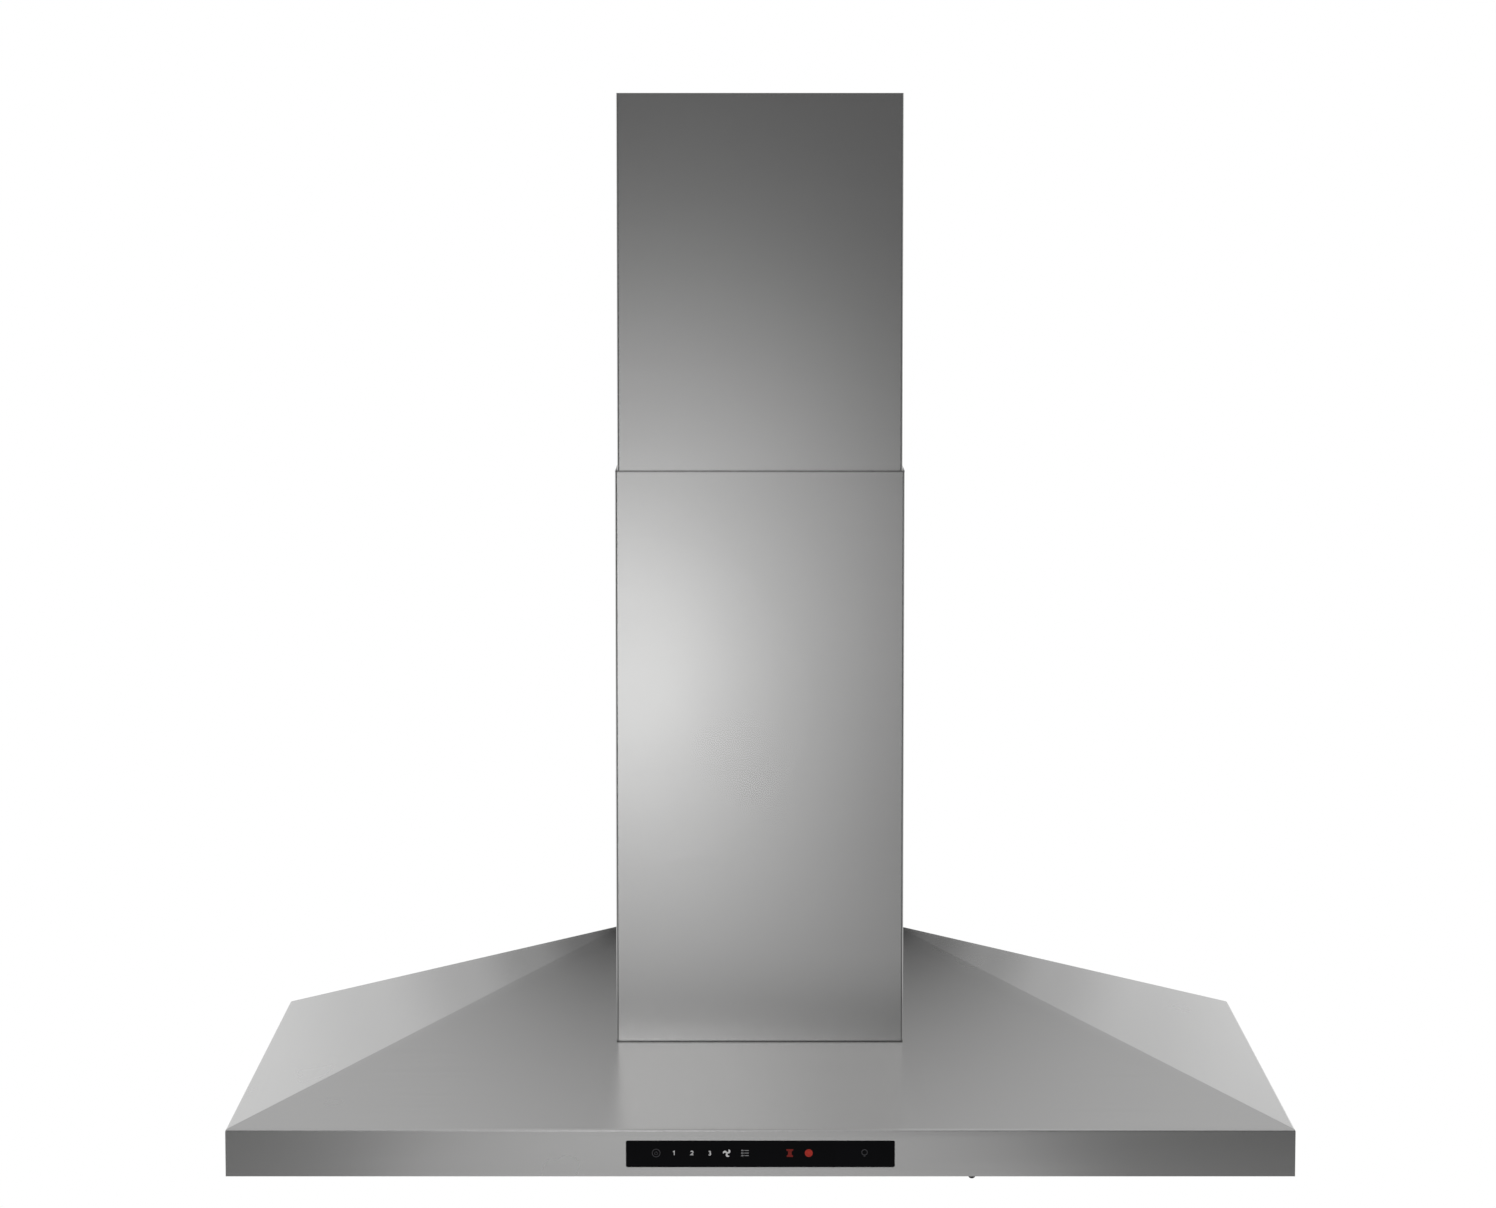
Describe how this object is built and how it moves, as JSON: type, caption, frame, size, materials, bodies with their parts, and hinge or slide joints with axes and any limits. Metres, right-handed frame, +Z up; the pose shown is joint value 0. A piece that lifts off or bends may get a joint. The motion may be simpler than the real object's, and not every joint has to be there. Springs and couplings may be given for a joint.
{
  "type": "chimney range hood",
  "caption": "Wall-hung chimney cooker hood with a shallow folded steel canopy, touch panel, telescopic cover, blower, flaps and tilt-down grease filters.",
  "frame": {"origin": "on the wall plane, on the hood's centre line, level with the two hanging slots 70 mm above the canopy's lower rim", "axes": "+Z up, +Y into the wall that the hood hangs on, so the front faces -Y, and +X to the right of someone who faces the hood"},
  "size_m": [0.898, 0.5004, 0.9096],
  "materials": {
    "brushed_steel": "fine horizontal grain",
    "galvanised": "dull zinc coat",
    "black_glass": "polished, opaque",
    "black_plastic": "moulded",
    "circuit_board": "lacquered board",
    "zinc_plate": "bright zinc",
    "lamp_lens": "frosted",
    "filter_aluminium": "satin",
    "grey_plastic": "moulded",
    "motor_steel": "rolled steel",
    "rubber": "moulded",
    "white_plastic": "moulded",
    "cable_grey": "sheathed lead"
  },
  "bodies": {
    "root": {"canopy_shell": "brushed_steel", "rear_panel": "galvanised", "control_glass": "black_glass", "control_carrier": "black_plastic", "touch_board": "circuit_board", "infrared_receiver": "black_plastic", "underside_tray": "brushed_steel", "lamp_bezel_left": "zinc_plate", "lamp_lens_left": "lamp_lens", "lamp_bezel_right": "zinc_plate", "lamp_lens_right": "lamp_lens", "lower_chimney": "brushed_steel", "chimney_foot_left": "galvanised", "chimney_foot_right": "galvanised", "chimney_screw_left": "zinc_plate", "chimney_screw_right": "zinc_plate", "suction_box": "galvanised", "scroll_housing": "galvanised", "inlet_ring_left": "galvanised", "inlet_ring_right": "galvanised", "motor_case": "motor_steel", "motor_spider": "zinc_plate", "motor_bush_1": "rubber", "motor_bush_2": "rubber", "motor_bush_3": "rubber", "outlet_collar": "black_plastic", "damper_bridge": "black_plastic", "electronics_case": "white_plastic", "electronics_lid": "white_plastic", "power_board": "circuit_board", "terminal_block": "white_plastic", "capacitor": "black_plastic", "cable_gland": "black_plastic", "control_cable": "cable_grey", "lamp_lead_left": "cable_grey", "lamp_lead_right": "cable_grey", "motor_lead": "cable_grey"},
    "upper_chimney": {"upper_chimney": "brushed_steel", "ceiling_bracket": "galvanised", "bracket_screw_left": "zinc_plate", "bracket_screw_right": "zinc_plate"},
    "fan": {"impeller": "black_plastic", "motor_shaft": "zinc_plate"},
    "flap_rear": {"damper_flap_rear": "grey_plastic"},
    "flap_front": {"damper_flap_front": "grey_plastic"},
    "left_filter": {"left_filter_frame": "filter_aluminium", "left_filter_mesh": "filter_aluminium", "left_latch_spring": "zinc_plate"},
    "left_latch": {"left_filter_latch": "grey_plastic"},
    "centre_filter": {"centre_filter_frame": "filter_aluminium", "centre_filter_mesh": "filter_aluminium", "centre_latch_spring": "zinc_plate"},
    "centre_latch": {"centre_filter_latch": "grey_plastic"},
    "right_filter": {"right_filter_frame": "filter_aluminium", "right_filter_mesh": "filter_aluminium", "right_latch_spring": "zinc_plate"},
    "right_latch": {"right_filter_latch": "grey_plastic"}
  },
  "joints": [
    {"name": "chimney_slide", "type": "slide", "parent": "root", "child": "upper_chimney", "axis": [0, 0, 1], "range_m": [-0.269, 0.115]},
    {"name": "fan_spin", "type": "hinge", "parent": "root", "child": "fan", "pos_m": [0, -0.161, 0.175], "axis": [1, 0, 0], "continuous": true},
    {"name": "flap_rear_swing", "type": "hinge", "parent": "root", "child": "flap_rear", "pos_m": [0, -0.106, 0.3158], "axis": [1, 0, 0], "range_deg": [0, 80]},
    {"name": "flap_front_swing", "type": "hinge", "parent": "root", "child": "flap_front", "pos_m": [0, -0.118, 0.3158], "axis": [-1, 0, 0], "range_deg": [0, 80]},
    {"name": "left_filter_tilt", "type": "hinge", "parent": "root", "child": "left_filter", "pos_m": [-0.273, -0.0755, -0.0546], "axis": [1, 0, 0], "range_deg": [0, 60]},
    {"name": "left_latch_slide", "type": "slide", "parent": "left_filter", "child": "left_latch", "axis": [0, 1, 0], "range_m": [0, 0.007], "stiffness_N_per_m": 400, "springref_m": -0.003, "deforming": ["left_latch_spring"]},
    {"name": "centre_filter_tilt", "type": "hinge", "parent": "root", "child": "centre_filter", "pos_m": [0, -0.0755, -0.0546], "axis": [1, 0, 0], "range_deg": [0, 60]},
    {"name": "centre_latch_slide", "type": "slide", "parent": "centre_filter", "child": "centre_latch", "axis": [0, 1, 0], "range_m": [0, 0.007], "stiffness_N_per_m": 400, "springref_m": -0.003, "deforming": ["centre_latch_spring"]},
    {"name": "right_filter_tilt", "type": "hinge", "parent": "root", "child": "right_filter", "pos_m": [0.273, -0.0755, -0.0546], "axis": [1, 0, 0], "range_deg": [0, 60]},
    {"name": "right_latch_slide", "type": "slide", "parent": "right_filter", "child": "right_latch", "axis": [0, 1, 0], "range_m": [0, 0.007], "stiffness_N_per_m": 400, "springref_m": -0.003, "deforming": ["right_latch_spring"]}
  ]
}
